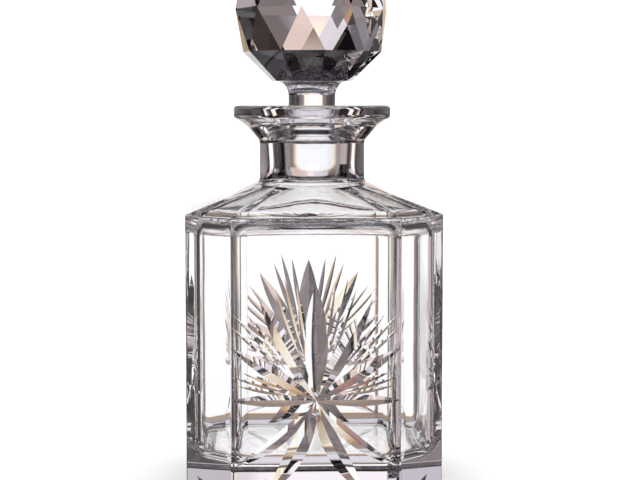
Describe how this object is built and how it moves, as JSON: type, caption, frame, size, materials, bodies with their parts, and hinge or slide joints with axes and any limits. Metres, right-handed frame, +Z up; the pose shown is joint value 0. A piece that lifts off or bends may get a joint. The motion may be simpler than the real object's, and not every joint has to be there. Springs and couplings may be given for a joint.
{
  "type": "decanter",
  "caption": "Square cut crystal decanter with bevelled corners, star-cut faces, a round neck, a flared lip and a faceted ball stopper that lifts out.",
  "frame": {"origin": "middle of the flat underside", "axes": "+Z up through the neck and the stopper, -Y out of the front face, +X to the right of the front face"},
  "size_m": [0.1, 0.1, 0.2187],
  "materials": {
    "crystal_body": "polished",
    "crystal_stopper": "polished, plug ground matt"
  },
  "bodies": {
    "decanter_body": {"decanter_body": "crystal_body"},
    "stopper": {"stopper": "crystal_stopper"}
  },
  "joints": [
    {"name": "stopper_lift", "type": "slide", "parent": "decanter_body", "child": "stopper", "axis": [0, 0, 1], "range_m": [0, 0.06]}
  ]
}
